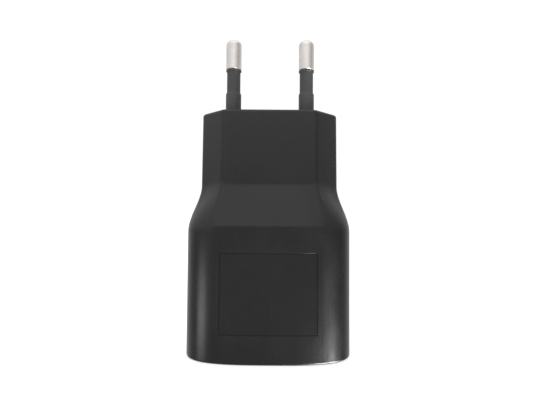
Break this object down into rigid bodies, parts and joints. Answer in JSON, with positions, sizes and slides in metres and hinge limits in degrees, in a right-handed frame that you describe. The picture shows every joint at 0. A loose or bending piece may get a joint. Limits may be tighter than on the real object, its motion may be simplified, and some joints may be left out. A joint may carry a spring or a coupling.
{
  "type": "usb wall charger",
  "caption": "Two-pin mains wall charger with a narrow plug section, flared shoulder, rounded block and a USB socket in its end",
  "frame": {"origin": "middle of the USB end, which is the face the charger stands on", "axes": "+Z from the USB end to the pin tips, +X along the pair of pins, -Y out of the face with the label recess"},
  "size_m": [0.0406, 0.0234, 0.0801],
  "materials": {
    "housing": "satin injection-moulded polycarbonate, fine even texture",
    "end_cap": "satin injection-moulded polycarbonate",
    "label": "blank matte film label",
    "pin_metal": "satin nickel plating on brass, fine turning marks",
    "sleeve": "matte thermoplastic pin sleeve",
    "spring_bronze": "stamped phosphor bronze strip",
    "board": "green solder mask on glass-epoxy laminate",
    "shield_steel": "tin-plated stamped steel",
    "tongue_plastic": "white glass-filled nylon",
    "contact_gold": "gold-flashed spring contact",
    "ferrite": "sintered ferrite",
    "bobbin_plastic": "phenolic bobbin with tinned pins",
    "winding_copper": "enamelled copper wire",
    "winding_tape": "yellow polyester tape",
    "capacitor_sleeve_dark": "shrink sleeve over an aluminium can",
    "capacitor_sleeve_blue": "shrink sleeve over an aluminium can",
    "chip_plastic": "moulded epoxy package",
    "resistor_coat": "flameproof lacquer coat",
    "choke_coat": "lacquer coat",
    "disc_coat": "epoxy-dipped ceramic disc",
    "chip_ceramic": "chip component bodies"
  },
  "bodies": {
    "charger": {"housing_shell": "housing", "usb_end_cap": "end_cap", "rating_label": "label", "pin_left": "pin_metal", "pin_right": "pin_metal", "sleeve_left": "sleeve", "sleeve_right": "sleeve", "pin_contact_left": "spring_bronze", "pin_contact_right": "spring_bronze", "main_board": "board", "usb_shield": "shield_steel", "usb_tongue": "tongue_plastic", "usb_contact_tails": "contact_gold", "transformer_core_upper": "ferrite", "transformer_core_lower": "ferrite", "transformer_bobbin": "bobbin_plastic", "transformer_winding": "winding_copper", "transformer_tape": "winding_tape", "input_capacitor_left": "capacitor_sleeve_dark", "input_capacitor_right": "capacitor_sleeve_dark", "output_capacitor_left": "capacitor_sleeve_blue", "output_capacitor_right": "capacitor_sleeve_blue", "bridge_rectifier": "chip_plastic", "fusible_resistor": "resistor_coat", "input_choke": "choke_coat", "y_capacitor": "disc_coat", "controller_chip": "chip_plastic", "optocoupler": "chip_plastic", "output_diode": "chip_plastic", "chip_parts": "chip_ceramic"},
    "blade_1": {"usb_contact_1": "contact_gold"},
    "blade_2": {"usb_contact_2": "contact_gold"},
    "blade_3": {"usb_contact_3": "contact_gold"},
    "blade_4": {"usb_contact_4": "contact_gold"}
  },
  "joints": [
    {"name": "contact_1_press", "type": "hinge", "parent": "charger", "child": "blade_1", "pos_m": [-0.0035, -0.00062, 0.0104], "axis": [-1, 0, 0], "range_deg": [0, 3.4], "stiffness_Nm_per_rad": 0.1},
    {"name": "contact_2_press", "type": "hinge", "parent": "charger", "child": "blade_2", "pos_m": [-0.001, -0.00062, 0.0104], "axis": [-1, 0, 0], "range_deg": [0, 3.4], "stiffness_Nm_per_rad": 0.1},
    {"name": "contact_3_press", "type": "hinge", "parent": "charger", "child": "blade_3", "pos_m": [0.001, -0.00062, 0.0104], "axis": [-1, 0, 0], "range_deg": [0, 3.4], "stiffness_Nm_per_rad": 0.1},
    {"name": "contact_4_press", "type": "hinge", "parent": "charger", "child": "blade_4", "pos_m": [0.0035, -0.00062, 0.0104], "axis": [-1, 0, 0], "range_deg": [0, 3.4], "stiffness_Nm_per_rad": 0.1}
  ]
}
